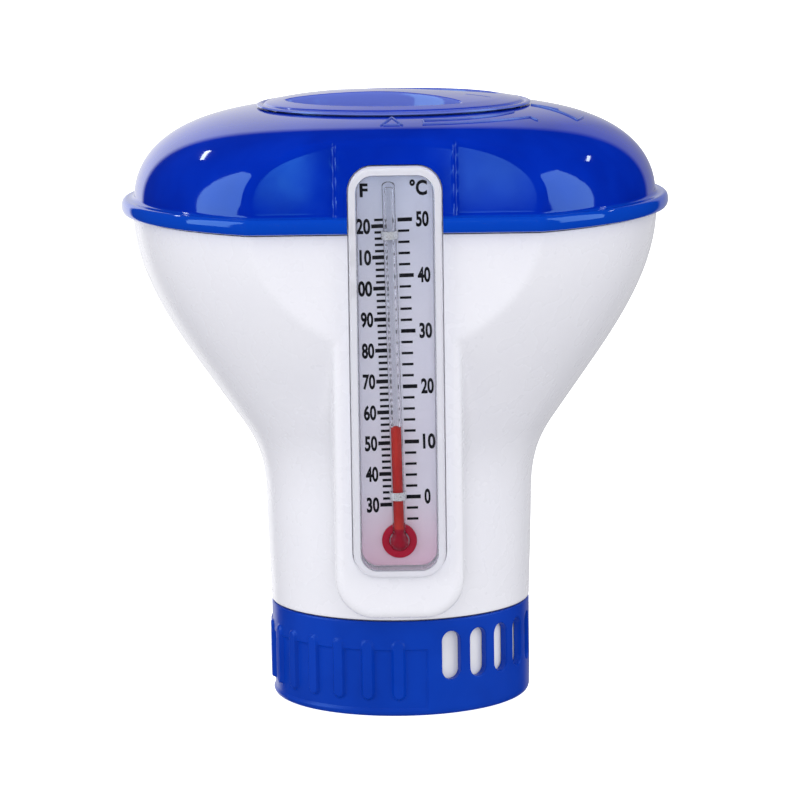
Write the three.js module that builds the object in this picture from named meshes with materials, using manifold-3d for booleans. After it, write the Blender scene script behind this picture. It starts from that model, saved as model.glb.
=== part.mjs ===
// Floating chlorine dispenser: a round pool float with a bayonet lid, a tablet chamber through
// its middle, a turning dosing ring at its foot and a thermometer let into its flat front.
// Millimetres, +Z up. The origin is on the axis, at the underside of the dosing ring.
// The flat front with the thermometer faces -Y.
import * as THREE from "three";
import { mergeVertices } from "three/addons/utils/BufferGeometryUtils.js";
import Module from "manifold-3d";

const wasm = await Module();
wasm.setup();

// ---------------------------------------------------------------- driving dimensions

const GAP = 0.3; // clearance between neighbouring pieces
const WALL = 2.0; // moulded wall of the float halves
const FACETS = 48; // facets round the large bodies
const SMALL_FACETS = 12; // facets round the thermometer's glass
const FACET_ANGLE = 7.5; // degrees of an arc for each facet
const FAR = 400; // reach of a cutting block

// Float, in radii from the axis and heights above the origin
const BEAD = { radius: 92.5, low: 166.9, high: 171.9, front: -79.2, halfWidth: 47.5 };
const DOME_RADIUS = 88.2;
const DOME_TOP = 201.7;
const LAND = { radius: 84.9, low: 166.2, high: 167.4, depth: WALL, front: -71.4 };
const CONE_RIM_RADIUS = 88.6;
const FLAT_FRONT = -75; // plane of the flat front of the cone, and of the dome at its bead
const DOME_LEAN = THREE.MathUtils.degToRad(17); // how far the dome's flat front leans back

// Tablet tube, from the dosing ring's floor to the lid, and the bores that hold it
const CHAMBER_RADIUS = 39.4; // takes 76 mm tablets
const TUBE = { radius: 41.2, low: 3.6, high: 193.8 };
const BORE_RADIUS = 42.8;
const NECK = { radius: 44.2, low: 33.3, bore: TUBE.radius + GAP };
const SHOULDER = 36.0; // ledge in the neck that the tube's flange stands on
const FLANGE = { radius: BORE_RADIUS - GAP, low: SHOULDER + GAP, high: 38.3 };
const COLLAR = { radius: 44.8, low: 185 };
const TUBE_SEAL = { inner: TUBE.radius + GAP, outer: BORE_RADIUS - GAP, height: 3 };
const UPPER_SEAL_LOW = 188;
const LOWER_SEAL_LOW = FLANGE.high + GAP;

// Dosing ring, which turns on the foot of the tube
const GROOVE = { radius: 40.3, low: 6.5, high: 9.3 };
const RING = { radius: 44.15, inner: 41.5, high: 32.7, floor: 2.5 };
const SEAT = { radius: 38.6, high: 3.0 }; // pad that the lowest tablet lies on
const SNAP_BEAD = { radius: 40.7, low: 7.0, high: 8.8 };
const SLOT = { halfWidth: 3.35, low: 12.1, high: 28.6, count: 11, pitch: 150 / 11, first: 22.6 };
const SLOT_CUT = { front: -48, back: -36 };
const RIB = { halfWidth: 2.3, low: 5.7, high: 26.4, count: 14, first: -1.2, radius: 44.9 };
const PANEL = { radius: 43.5, low: 2.6, high: 22.8, from: -191.6, to: 11.6 };

// Lid with its grip bar, plug and bayonet
const LID = { radius: 46.2, low: 202.2, crown: 206.8, barAngle: -22 };
const PLUG = { radius: 41.0, inner: 38.6, low: 194.6 };
const LID_GROOVE = { radius: 40.6, low: 199.2, high: 201.4 };
const WELL = { radius: 37, barHalfWidth: 6.5, barRound: 53.7, floor: 194.5, wall: 1.8 };
const WELL_FACETS = 8;
const TAB = { outer: BORE_RADIUS - GAP, low: 195.0, high: 196.6, halfAngle: 11 };
const LUG = { inner: 41.3, low: 196.9, high: 198.9, halfAngle: 15 };
const LOCK_TURN = 45;
const TABS_AT = [90, 210, 330];

// Thermometer, in its own group on the axis of the glass
const GLASS_Y = -74.3;
const LENS = { halfWidth: 15.5, low: 54.7, high: 188.2, corner: 8, front: -79.5, back: -70.2 };
const LENS_WALL = 2.3;
const LENS_FACE = 1.4;
const POCKET_FLOOR = -68.0;
const POCKET_SPACE = 0.4;
const CASE = { front: -69.9, step: -70.5, back: -68.3 };
const CARD = { front: -71.3, back: -70.8 };
const BULB_Z = 65.8;
const GLASS = { radius: 2.1, bore: 1.3, bulb: 3.0, bulbBore: 2.2, high: 183.7 };
const SPIRIT = { radius: 1.0, bulb: 1.9, high: 104.0 };
const CLIP = { inner: 2.4, outer: 2.9, height: 2.6, footHalfWidth: 4.2, foot: 0.7 };
const CLIP_HEIGHTS = { upper: 166.2, lower: 81.0 };
const BULB_COLLAR = { inner: 3.3, outer: 5.7, front: -73.0, back: -71.6 };
const CONE_BOSS = { halfWidth: 21, low: 40, high: 152, corner: 13, back: -47.5 };
const DOME_BOSS = { halfWidth: 19.6, low: 167.5, high: 203, corner: 4, front: -77 };

// ---------------------------------------------------------------- solids from three.js geometry

// A closed three.js geometry as a solid. Triangles that collapse on the axis are dropped.
function solidOf(geometry) {
  const bare = geometry.clone();
  bare.deleteAttribute("normal");
  bare.deleteAttribute("uv");
  const merged = mergeVertices(bare, 1e-3);
  const index = merged.index.array;
  const kept = [];
  for (let i = 0; i < index.length; i += 3) {
    const corners = [index[i], index[i + 1], index[i + 2]];
    if (new Set(corners).size === 3) kept.push(...corners);
  }
  return new wasm.Manifold(
    new wasm.Mesh({
      numProp: 3,
      vertProperties: merged.attributes.position.array,
      triVerts: new Uint32Array(kept),
    }),
  );
}

function meshOf(name, solid, look) {
  const result = solid.getMesh();
  const geometry = new THREE.BufferGeometry();
  geometry.setAttribute("position", new THREE.BufferAttribute(result.vertProperties, 3));
  geometry.setIndex(new THREE.BufferAttribute(result.triVerts, 1));
  geometry.computeVertexNormals();
  const mesh = new THREE.Mesh(geometry, new THREE.MeshStandardMaterial(look));
  mesh.name = name;
  return mesh;
}

// A solid of revolution about Z from [radius, height] points, up the outside and down the inside.
function turned(points, facets = FACETS) {
  const outline = points.map(([radius, height]) => new THREE.Vector2(radius, height));
  return solidOf(new THREE.LatheGeometry(outline, facets).rotateX(Math.PI / 2));
}

function disc(radius, low, high) {
  return turned([[0, low], [radius, low], [radius, high], [0, high]]);
}

function ring(inner, outer, low, high) {
  return turned([[inner, low], [outer, low], [outer, high], [inner, high], [inner, low]]);
}

// A shape drawn in X and Z, carried along Y from front to back.
function standing(shape, front, back, facets = 3) {
  const options = { depth: back - front, bevelEnabled: false, curveSegments: facets };
  const geometry = new THREE.ExtrudeGeometry(shape, options).rotateX(Math.PI / 2);
  return solidOf(geometry.translate(0, back, 0));
}

// A shape drawn in X and Y, carried up from low to high.
function lying(shape, low, high, facets = 18) {
  const options = { depth: high - low, bevelEnabled: false, curveSegments: facets };
  return solidOf(new THREE.ExtrudeGeometry(shape, options).translate(0, 0, low));
}

// Everything behind the upright plane at this Y.
function behind(y) {
  return solidOf(new THREE.BoxGeometry(FAR, FAR, 2 * FAR).translate(0, y + FAR / 2, 0));
}

// Everything behind the plane that stands at this Y at the bead and leans back above it.
function behindLeaning(y) {
  const box = new THREE.BoxGeometry(FAR, FAR, 2 * FAR).translate(0, FAR / 2, 0);
  return solidOf(box.rotateX(-DOME_LEAN).translate(0, y, BEAD.high));
}

function roundedRectangle(halfWidth, low, high, corner) {
  const shape = new THREE.Shape();
  const x = halfWidth - corner;
  shape.absarc(x, low + corner, corner, -Math.PI / 2, 0);
  shape.absarc(x, high - corner, corner, 0, Math.PI / 2);
  shape.absarc(-x, high - corner, corner, Math.PI / 2, Math.PI);
  shape.absarc(-x, low + corner, corner, Math.PI, 1.5 * Math.PI);
  shape.closePath();
  return shape;
}

// A circle cut off straight along the front.
function flatFrontedCircle(radius, front) {
  const angle = Math.asin(front / radius);
  const shape = new THREE.Shape();
  shape.absarc(0, 0, radius, angle, Math.PI - angle);
  shape.closePath();
  return shape;
}

// A piece of a ring between two angles in degrees, counter-clockwise from +X.
function ringSector(inner, outer, low, high, from, to) {
  const shape = new THREE.Shape();
  const start = THREE.MathUtils.degToRad(from);
  const end = THREE.MathUtils.degToRad(to);
  shape.absarc(0, 0, outer, start, end, false);
  shape.absarc(0, 0, inner, end, start, true);
  shape.closePath();
  return lying(shape, low, high, Math.ceil((to - from) / FACET_ANGLE / 2));
}

function curvePoints(start, control1, control2, end, steps) {
  const [a, b, c, d] = [start, control1, control2, end].map((p) => new THREE.Vector2(...p));
  return new THREE.CubicBezierCurve(a, b, c, d).getPoints(steps).map((p) => [p.x, p.y]);
}

// ---------------------------------------------------------------- shapes that several pieces share

// Outside of the dome above the bead, from the rim to the lid, set in by the given depth.
function domeCurve(inset) {
  return curvePoints(
    [DOME_RADIUS - inset, 171.9],
    [DOME_RADIUS - inset, 184 - inset * 0.4],
    [79 - inset * 0.6, 198.5 - inset],
    [LID.radius, DOME_TOP - inset],
    8,
  );
}

// Outside of the neck and the cone up to the rim, set in by the given depth.
function coneCurve(inset) {
  const slant = inset * 1.2;
  const fillet = curvePoints(
    [45.3 - inset, 70],
    [45.6 - inset, 80 + inset * 0.4],
    [47.2 - inset, 87.2 + inset * 0.5],
    [53.4 - slant, 96],
    4,
  );
  const flare = curvePoints(
    [65.9 - slant, 114],
    [78.5 - slant, 132],
    [88.0 - inset, 148],
    [CONE_RIM_RADIUS - inset, LAND.low],
    6,
  );
  return [...fillet, ...flare];
}

function lensOutline(extra) {
  const { halfWidth, low, high, corner } = LENS;
  return roundedRectangle(halfWidth + extra, low - extra, high + extra, corner + extra);
}

// The recess that the thermometer sits in, and the wall round the recess.
const pocket = standing(lensOutline(POCKET_SPACE), -FAR / 4, POCKET_FLOOR);
const pocketWall = standing(lensOutline(POCKET_SPACE + WALL), -FAR / 4, POCKET_FLOOR + WALL);

function slotCutters(first, step) {
  const { halfWidth, low, high, count } = SLOT;
  const cutter = standing(roundedRectangle(halfWidth, low, high, halfWidth), SLOT_CUT.front, SLOT_CUT.back, 1);
  const cutters = [];
  for (let i = 0; i < count; i += 1) cutters.push(cutter.rotate([0, 0, first + i * step]));
  return cutters;
}

function joined(solids) {
  return solids.reduce((sum, solid) => sum.add(solid));
}

// ---------------------------------------------------------------- float

function domeShell() {
  const crown = [...domeCurve(0), [0, DOME_TOP]];
  const whole = turned([[0, BEAD.low], [DOME_RADIUS, BEAD.low], ...crown]);
  const beadMiddle = (BEAD.low + BEAD.high) / 2;
  const bead = turned([
    [80, BEAD.low],
    [91.2, BEAD.low],
    [92.2, BEAD.low + 0.9],
    [BEAD.radius, beadMiddle],
    [92.2, BEAD.high - 0.9],
    [91.2, BEAD.high],
    [80, BEAD.high],
    [80, BEAD.low],
  ]).intersect(behind(BEAD.front));
  const bar = new THREE.Shape();
  bar.moveTo(-BEAD.halfWidth, BEAD.front);
  bar.lineTo(BEAD.halfWidth, BEAD.front);
  bar.lineTo(BEAD.halfWidth, FLAT_FRONT + 1);
  bar.lineTo(-BEAD.halfWidth, FLAT_FRONT + 1);
  const { halfWidth, low, high, corner, front } = DOME_BOSS;
  const boss = standing(roundedRectangle(halfWidth, low, high, corner), front, -60)
    .intersect(whole)
    .intersect(behindLeaning(front));
  const outside = whole
    .intersect(behind(FLAT_FRONT))
    .intersect(behindLeaning(FLAT_FRONT))
    .add(bead)
    .add(lying(bar, BEAD.low, BEAD.high))
    .add(boss);

  const innerCrown = domeCurve(WALL).slice(0, -1);
  const chamber = turned([
    [COLLAR.radius, 150],
    [DOME_RADIUS - WALL, 150],
    ...innerCrown,
    [COLLAR.radius, DOME_TOP - WALL],
    [COLLAR.radius, 150],
  ])
    .intersect(behind(FLAT_FRONT + WALL))
    .intersect(behindLeaning(FLAT_FRONT + WALL))
    .subtract(pocketWall);
  const landInside = lying(flatFrontedCircle(LAND.radius, LAND.front), LAND.high, LAND.high + LAND.depth);
  const landRing = disc(FAR / 4, LAND.high, LAND.high + LAND.depth).subtract(landInside);
  const gasketSeat = lying(flatFrontedCircle(88.9, -75.3), BEAD.low - 1, LAND.high);
  const lugs = TABS_AT.map((angle) => {
    const middle = angle - LOCK_TURN;
    const from = middle - LUG.halfAngle;
    const ledge = ringSector(LUG.inner, BORE_RADIUS + 1, LUG.low, LUG.high, from, middle + LUG.halfAngle);
    const stop = ringSector(LUG.inner, BORE_RADIUS + 1, TAB.low, LUG.low + 0.5, from, from + 3);
    return ledge.add(stop);
  });
  return outside
    .subtract(chamber.subtract(landRing))
    .subtract(disc(COLLAR.radius + 1, 150, COLLAR.low))
    .subtract(disc(BORE_RADIUS, 150, DOME_TOP + 5))
    .add(joined(lugs))
    .subtract(gasketSeat)
    .subtract(pocket);
}

function lowerShell() {
  const whole = turned([
    [0, NECK.low],
    [NECK.radius, NECK.low],
    [44.8, 50],
    ...coneCurve(0),
    [0, LAND.low],
  ]).intersect(behind(FLAT_FRONT));
  const { halfWidth, low, high, corner, back } = CONE_BOSS;
  const boss = standing(roundedRectangle(halfWidth, low, high, corner), FLAT_FRONT, -30);

  const rimTop = LAND.low + 5;
  const chamber = turned([
    [0, 0],
    [NECK.bore, 0],
    [NECK.bore, SHOULDER],
    [BORE_RADIUS, SHOULDER],
    ...coneCurve(WALL).slice(1),
    [CONE_RIM_RADIUS - WALL, rimTop],
    [0, rimTop],
  ]).intersect(behind(FLAT_FRONT + WALL));
  const landInside = lying(flatFrontedCircle(LAND.radius, LAND.front), LAND.low - LAND.depth, rimTop);
  const landRing = disc(FAR / 4, LAND.low - LAND.depth, rimTop).subtract(landInside);
  const inner = roundedRectangle(halfWidth - WALL, low + WALL, high - WALL, corner - WALL);
  const bossHollow = standing(inner, FLAT_FRONT + WALL, back).subtract(disc(47.6, 0, 88));
  return whole
    .add(boss)
    .subtract(chamber.subtract(landRing).subtract(pocketWall))
    .subtract(bossHollow.subtract(pocketWall))
    .subtract(pocket);
}

function rimGasket() {
  const low = LAND.low + GAP;
  const high = LAND.high - GAP;
  const outer = lying(flatFrontedCircle(88.4, -74.7), low, high);
  const inner = lying(flatFrontedCircle(LAND.radius + GAP, LAND.front - 0.1), low - 1, high + 1);
  const recess = standing(lensOutline(POCKET_SPACE + GAP), -FAR / 4, POCKET_FLOOR + GAP);
  return outer.subtract(inner.subtract(pocketWall)).subtract(recess);
}

// ---------------------------------------------------------------- tablet chamber and seals

// The tube's slots lie beside the ring's, so the dosing ring is shut at rest and turns to open them.
function tabletTube() {
  const wall = turned([
    [CHAMBER_RADIUS, TUBE.low],
    [TUBE.radius, TUBE.low],
    [TUBE.radius, GROOVE.low],
    [GROOVE.radius, GROOVE.low],
    [GROOVE.radius, GROOVE.high],
    [TUBE.radius, GROOVE.high],
    [TUBE.radius, FLANGE.low],
    [FLANGE.radius, FLANGE.low],
    [FLANGE.radius, FLANGE.high],
    [TUBE.radius, FLANGE.high],
    [TUBE.radius, TUBE.high],
    [CHAMBER_RADIUS, TUBE.high],
    [CHAMBER_RADIUS, TUBE.low],
  ]);
  return wall.subtract(joined(slotCutters(SLOT.first - SLOT.pitch, -SLOT.pitch)));
}

// ---------------------------------------------------------------- dosing ring

function dosingRing() {
  const cup = turned([
    [0, 0],
    [41.6, 0],
    [42.9, 0.4],
    [43.8, 1.3],
    [RING.radius, 2.6],
    [RING.radius, RING.high],
    [RING.inner, RING.high],
    [RING.inner, SNAP_BEAD.high],
    [SNAP_BEAD.radius, SNAP_BEAD.high],
    [SNAP_BEAD.radius, SNAP_BEAD.low],
    [RING.inner, SNAP_BEAD.low],
    [RING.inner, RING.floor],
    [SEAT.radius, RING.floor],
    [SEAT.radius, SEAT.high],
    [0, SEAT.high],
  ]);
  const front = -90; // angle of the front, counter-clockwise from +X
  const panel = ringSector(
    PANEL.radius, RING.radius + 2, PANEL.low, PANEL.high, PANEL.from + front, PANEL.to + front,
  );
  const { halfWidth, low, high, count, first, radius } = RIB;
  const rib = standing(roundedRectangle(halfWidth, low, high, halfWidth), -radius, -43, 1);
  const ribs = [];
  for (let i = 0; i < count; i += 1) ribs.push(rib.rotate([0, 0, first - i * SLOT.pitch]));
  return cup
    .subtract(panel)
    .add(joined(ribs))
    .subtract(joined(slotCutters(SLOT.first, SLOT.pitch)));
}

// ---------------------------------------------------------------- lid

// One finger well: a half moon between the grip bar and an arc round the lid, on the +Y side.
function wellOutline(radius, barHalfWidth) {
  const round = WELL.barRound + (WELL.barHalfWidth - barHalfWidth);
  const centre = barHalfWidth + round;
  const y = (radius ** 2 - round ** 2 + centre ** 2) / (2 * centre);
  const outerAngle = Math.asin(y / radius);
  const innerAngle = Math.asin((y - centre) / round);
  const shape = new THREE.Shape();
  shape.absarc(0, 0, radius, outerAngle, Math.PI - outerAngle, false);
  shape.absarc(0, centre, round, -Math.PI - innerAngle, innerAngle, false);
  shape.closePath();
  return shape;
}

function lidSolid() {
  const cap = turned([
    [0, LID.low],
    [LID.radius, LID.low],
    [LID.radius, 202.7],
    [44.8, 203.0],
    [41, 203.8],
    [37, 204.5],
    [28, 205.5],
    [16, 206.3],
    [0, LID.crown],
  ]);
  const skirt = turned([
    [PLUG.inner, PLUG.low],
    [PLUG.radius, PLUG.low],
    [PLUG.radius, LID_GROOVE.low],
    [LID_GROOVE.radius, LID_GROOVE.low],
    [LID_GROOVE.radius, LID_GROOVE.high],
    [PLUG.radius, LID_GROOVE.high],
    [PLUG.radius, LID.low + 0.5],
    [PLUG.inner, LID.low + 0.5],
    [PLUG.inner, PLUG.low],
  ]);
  const { radius, barHalfWidth, floor, wall } = WELL;
  const cupOutline = wellOutline(radius + wall, barHalfWidth - wall);
  const cup = lying(cupOutline, floor - wall, LID.low + 1, WELL_FACETS);
  const well = lying(wellOutline(radius, barHalfWidth), floor, LID.crown + 5, WELL_FACETS);
  const tabs = TABS_AT.map((angle) =>
    ringSector(
      PLUG.inner + 1,
      TAB.outer,
      TAB.low,
      TAB.high,
      angle - LID.barAngle - TAB.halfAngle,
      angle - LID.barAngle + TAB.halfAngle,
    ),
  );
  return joined([cap, skirt, cup, cup.rotate([0, 0, 180]), ...tabs])
    .subtract(well)
    .subtract(well.rotate([0, 0, 180]));
}

// ---------------------------------------------------------------- thermometer

// Solids here are drawn in the group of the glass, whose axis stands at GLASS_Y.
function thermometerSlab(shape, front, back) {
  return standing(shape, front - GLASS_Y, back - GLASS_Y);
}

function thermometerLens() {
  const outside = thermometerSlab(lensOutline(0), LENS.front, LENS.back);
  const inside = thermometerSlab(lensOutline(-LENS_WALL), LENS.front + LENS_FACE, LENS.back + 5);
  return outside.subtract(inside);
}

function thermometerCase() {
  const plate = thermometerSlab(lensOutline(0), CASE.front, CASE.back);
  const step = thermometerSlab(lensOutline(-LENS_WALL - 0.6), CASE.step, CASE.front + 0.5);
  return plate.add(step);
}

function scaleCard() {
  return thermometerSlab(lensOutline(-LENS_WALL - 0.4), CARD.front, CARD.back);
}

// Points round a ball on the axis, from its lowest point up to where it meets a stem.
function ballPoints(ballRadius, stemRadius) {
  const steps = 4;
  const last = Math.PI - Math.asin(stemRadius / ballRadius);
  const points = [];
  for (let i = 0; i <= steps; i += 1) {
    const angle = (last * i) / steps;
    points.push([ballRadius * Math.sin(angle), BULB_Z - ballRadius * Math.cos(angle)]);
  }
  return points;
}

function glassTube() {
  const outside = [...ballPoints(GLASS.bulb, GLASS.radius), [GLASS.radius, GLASS.high]];
  const inside = [...ballPoints(GLASS.bulbBore, GLASS.bore), [GLASS.bore, GLASS.high]];
  return turned([...outside, ...inside.reverse()], SMALL_FACETS);
}

function spiritColumn() {
  const outline = [...ballPoints(SPIRIT.bulb, SPIRIT.radius), [SPIRIT.radius, SPIRIT.high]];
  return turned([...outline, [0, SPIRIT.high]], SMALL_FACETS);
}

// A strap over the glass with two feet on the card.
function tubeClip() {
  const half = CLIP.height / 2;
  const strap = turned([[0, -half], [CLIP.outer, -half], [CLIP.outer, half], [0, half]], SMALL_FACETS);
  const footBack = CARD.front - GAP - GLASS_Y;
  const foot = roundedRectangle(CLIP.footHalfWidth, -half, half, 0.4);
  const feet = standing(foot, footBack - CLIP.foot, footBack);
  const hole = turned([[0, -5], [CLIP.inner, -5], [CLIP.inner, 5], [0, 5]], SMALL_FACETS);
  const behindFeet = standing(roundedRectangle(8, -5, 5, 1), footBack, 10);
  return strap.add(feet).subtract(hole).subtract(behindFeet);
}

function bulbCollar() {
  const shape = new THREE.Shape();
  shape.absarc(0, BULB_Z, BULB_COLLAR.outer, 0, 2 * Math.PI);
  const hole = new THREE.Path();
  hole.absarc(0, BULB_Z, BULB_COLLAR.inner, 0, 2 * Math.PI, true);
  shape.holes.push(hole);
  const stemSpace = turned(
    [[0, BULB_Z], [CLIP.inner, BULB_Z], [CLIP.inner, BULB_Z + 8], [0, BULB_Z + 8]],
    SMALL_FACETS,
  );
  return thermometerSlab(shape, BULB_COLLAR.front, BULB_COLLAR.back).subtract(stemSpace);
}

// ---------------------------------------------------------------- assembly

const BLUE = { color: 0x0a2fa8, roughness: 0.25, metalness: 0 };
const RING_BLUE = { color: 0x0a47b0, roughness: 0.4, metalness: 0 };
const WHITE = { color: 0xe9e8f0, roughness: 0.35, metalness: 0 };
const RUBBER = { color: 0x1c1c1e, roughness: 0.8, metalness: 0 };
const CLEAR = { color: 0xe6ecf2, roughness: 0.05, metalness: 0, transparent: true, opacity: 0.35 };
const RED = { color: 0xc4141c, roughness: 0.4, metalness: 0 };
const CARD_GREY = { color: 0xc4c2cc, roughness: 0.6, metalness: 0 };
const SILVER = { color: 0xc8c8cc, roughness: 0.3, metalness: 1 };

function seal(name, inner, outer, height, low) {
  const mesh = meshOf(name, ring(inner, outer, 0, height), RUBBER);
  mesh.position.z = low;
  return mesh;
}

function housing() {
  const group = new THREE.Group();
  const { inner, outer, height } = TUBE_SEAL;
  group.add(meshOf("dome_shell", domeShell(), BLUE));
  group.add(meshOf("lower_shell", lowerShell(), WHITE));
  group.add(meshOf("rim_gasket", rimGasket(), RUBBER));
  group.add(meshOf("tablet_tube", tabletTube(), WHITE));
  group.add(seal("tube_upper_seal", inner, outer, height, UPPER_SEAL_LOW));
  group.add(seal("tube_lower_seal", inner, outer, height, LOWER_SEAL_LOW));
  return group;
}

function lidGroup() {
  const group = new THREE.Group();
  const sealHeight = LID_GROOVE.high - LID_GROOVE.low - 2 * GAP;
  const innerRadius = LID_GROOVE.radius + GAP;
  const cap = meshOf("lid", lidSolid(), BLUE);
  cap.rotation.z = THREE.MathUtils.degToRad(LID.barAngle);
  group.add(cap);
  group.add(seal("lid_seal", innerRadius, BORE_RADIUS - GAP, sealHeight, LID_GROOVE.low + GAP));
  return group;
}

function thermometer() {
  const group = new THREE.Group();
  group.position.y = GLASS_Y;
  group.add(meshOf("thermometer_case", thermometerCase(), WHITE));
  group.add(meshOf("scale_card", scaleCard(), CARD_GREY));
  group.add(meshOf("glass_tube", glassTube(), CLEAR));
  group.add(meshOf("spirit_column", spiritColumn(), RED));
  group.add(meshOf("bulb_collar", bulbCollar(), RED));
  group.add(meshOf("thermometer_lens", thermometerLens(), CLEAR));
  for (const [place, height] of Object.entries(CLIP_HEIGHTS)) {
    const clip = meshOf(`tube_clip_${place}`, tubeClip(), SILVER);
    clip.position.z = height;
    group.add(clip);
  }
  return group;
}

const dispenser = new THREE.Group();
dispenser.add(housing());
dispenser.add(lidGroup());
dispenser.add(thermometer());
dispenser.add(meshOf("dosing_ring", dosingRing(), RING_BLUE));

export default dispenser;
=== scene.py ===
"""Floating chlorine dispenser: the looks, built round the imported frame. Metres, +Z up, flat front at -Y."""

import math

import bmesh
import bpy
import numpy as np
from mathutils import Matrix, Vector


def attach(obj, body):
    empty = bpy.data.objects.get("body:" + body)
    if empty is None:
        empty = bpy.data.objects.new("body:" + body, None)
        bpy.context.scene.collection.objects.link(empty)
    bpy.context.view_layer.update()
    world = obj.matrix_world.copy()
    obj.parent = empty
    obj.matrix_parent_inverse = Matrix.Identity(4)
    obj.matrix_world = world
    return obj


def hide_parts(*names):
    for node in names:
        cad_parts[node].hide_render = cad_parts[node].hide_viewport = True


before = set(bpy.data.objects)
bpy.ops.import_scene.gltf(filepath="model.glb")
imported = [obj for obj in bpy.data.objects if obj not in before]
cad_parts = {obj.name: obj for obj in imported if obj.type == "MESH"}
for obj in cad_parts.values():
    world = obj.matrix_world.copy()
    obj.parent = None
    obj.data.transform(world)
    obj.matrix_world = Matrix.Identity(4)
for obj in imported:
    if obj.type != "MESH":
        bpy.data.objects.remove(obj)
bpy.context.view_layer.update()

MM = 0.001

# ---------------------------------------------------------------- dimensions, in mm

BORE = 42.8
MOUTH = 46.2
DOME_TOP = 201.7
BEAD_HIGH = 171.9
BEAD_FILLET = 0.9  # the rounded foot where the dome meets the bead
DOME_RADIUS = 88.2
FLAT = 75.0
DOME_LEAN = math.tan(math.radians(17))
BOSS_PROUD = 2.0
DOME_BOSS_HALF = 19.6
CONE_BOSS = {"half": 21.0, "low": 40.0, "corner": 13.0, "edge": 3.2}
GLASS_Y = -74.3
LENS = {"half": 15.0, "low": 54.7, "high": 188.2, "corner": 8.0, "wall": 2.3, "front": -79.5, "back": -70.2,
        "window": -78.1}
CARD_FRONT = -71.3
BULB_Z = 65.8
MARK = {"width": 0.75, "height": 0.5}
MARK_RADIUS = 60  # turns the angles of a mark into lengths
INSERT_LEAN = math.radians(-1.0)
ZERO_C = 80.0
MM_PER_C = 1.814
FREEZING_F = 79.6
MM_PER_9_F = 9.13
BAR_ANGLE = math.radians(-22)
LID_TOP = [(46.2, 202.25), (46.2, 202.55), (46.05, 202.8), (45.6, 202.95), (44.7, 203.0), (44.35, 202.8),
           (44.1, 202.65), (43.8, 202.75), (43.5, 203.1), (43.1, 203.35), (42.3, 203.55), (41.0, 203.8),
           (39.0, 204.15), (37.0, 204.5), (32.5, 205.05), (28.0, 205.5), (22.0, 205.95), (16.0, 206.3),
           (8.0, 206.65), (3.0, 206.78)]
SLOT = {"half": 3.35, "low": 12.1, "high": 28.6, "count": 11, "pitch": 150 / 11, "first": 22.6}
RIB = {"half": 2.3, "low": 5.7, "high": 26.4, "count": 14, "first": -1.2}


# ---------------------------------------------------------------- mesh helpers

def new_object(name, points, faces):
    mesh = bpy.data.meshes.new(name)
    mesh.from_pydata((np.asarray(points, float) * MM).tolist(), [], faces)
    mesh.update()
    obj = bpy.data.objects.new(name, mesh)
    bpy.context.scene.collection.objects.link(obj)
    return obj


def outward(obj):
    work = bmesh.new()
    work.from_mesh(obj.data)
    bmesh.ops.recalc_face_normals(work, faces=work.faces)
    work.to_mesh(obj.data)
    work.free()
    return obj


def loft(name, loops, wrap=False, start="face", end="face"):
    """A skin over loops of equal length.

    Each end is a face, a point, or open. Wrap joins the last loop to the first.
    """
    loops = [np.asarray(loop, float) for loop in loops]
    count = len(loops[0])
    points = np.concatenate(loops)
    faces = []
    last = len(loops) if wrap else len(loops) - 1
    for i in range(last):
        a, b = i * count, ((i + 1) % len(loops)) * count
        faces += [(a + j, a + (j + 1) % count, b + (j + 1) % count, b + j) for j in range(count)]
    tips = []
    for style, first in ((start, 0), (end, (len(loops) - 1) * count)):
        if wrap or style == "open":
            continue
        rim = list(range(first, first + count))
        if style == "face":
            faces.append(tuple(rim))
        else:
            tip = len(points) + len(tips)
            tips.append(points[first:first + count].mean(0))
            faces += [(rim[j], rim[(j + 1) % count], tip) for j in range(count)]
    if tips:
        points = np.concatenate([points, np.array(tips)])
    return outward(new_object(name, points, faces))


def evaluated(obj):
    """obj with its modifiers made final."""
    graph = bpy.context.evaluated_depsgraph_get()
    mesh = bpy.data.meshes.new_from_object(obj.evaluated_get(graph))
    obj.modifiers.clear()
    old = obj.data
    obj.data = mesh
    bpy.data.meshes.remove(old)
    return obj


def joined(name, objects):
    work = bmesh.new()
    for obj in objects:
        work.from_mesh(obj.data)
        bpy.data.objects.remove(obj)
    mesh = bpy.data.meshes.new(name)
    work.to_mesh(mesh)
    work.free()
    obj = bpy.data.objects.new(name, mesh)
    bpy.context.scene.collection.objects.link(obj)
    return obj


def cut(obj, cutter, operation="DIFFERENCE"):
    mod = obj.modifiers.new("cut", "BOOLEAN")
    mod.operation = operation
    mod.solver = "EXACT"
    mod.object = cutter
    evaluated(obj)
    bpy.data.objects.remove(cutter)
    return obj


def place(obj, body, slot, material, *nodes, sharp=35):
    obj.data.shade_smooth()
    obj.data.set_sharp_from_angle(angle=math.radians(sharp))
    obj.data.materials.clear()
    obj.data.materials.append(material)
    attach(obj, body)
    if nodes:
        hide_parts(*nodes)
    return obj


def bezier(a, b, c, d, steps):
    a, b, c, d = map(np.array, (a, b, c, d))
    t = np.linspace(0, 1, steps + 1)[:, None]
    return (1 - t) ** 3 * a + 3 * (1 - t) ** 2 * t * b + 3 * (1 - t) * t ** 2 * c + t ** 3 * d


def refined(points, step):
    """The same outline with no stretch longer than step."""
    out = [np.array(points[0], float)]
    for a, b in zip(points[:-1], points[1:]):
        a, b = np.array(a, float), np.array(b, float)
        n = max(1, math.ceil(np.linalg.norm(b - a) / step))
        out += [a + (b - a) * k / n for k in range(1, n + 1)]
    return np.array(out)


def circle_loop(radius, z, columns):
    """A level circle. Columns are angles from the front, -Y, towards +X."""
    return np.stack([radius * np.sin(columns), -radius * np.cos(columns), np.full_like(columns, z)], 1)


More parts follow.
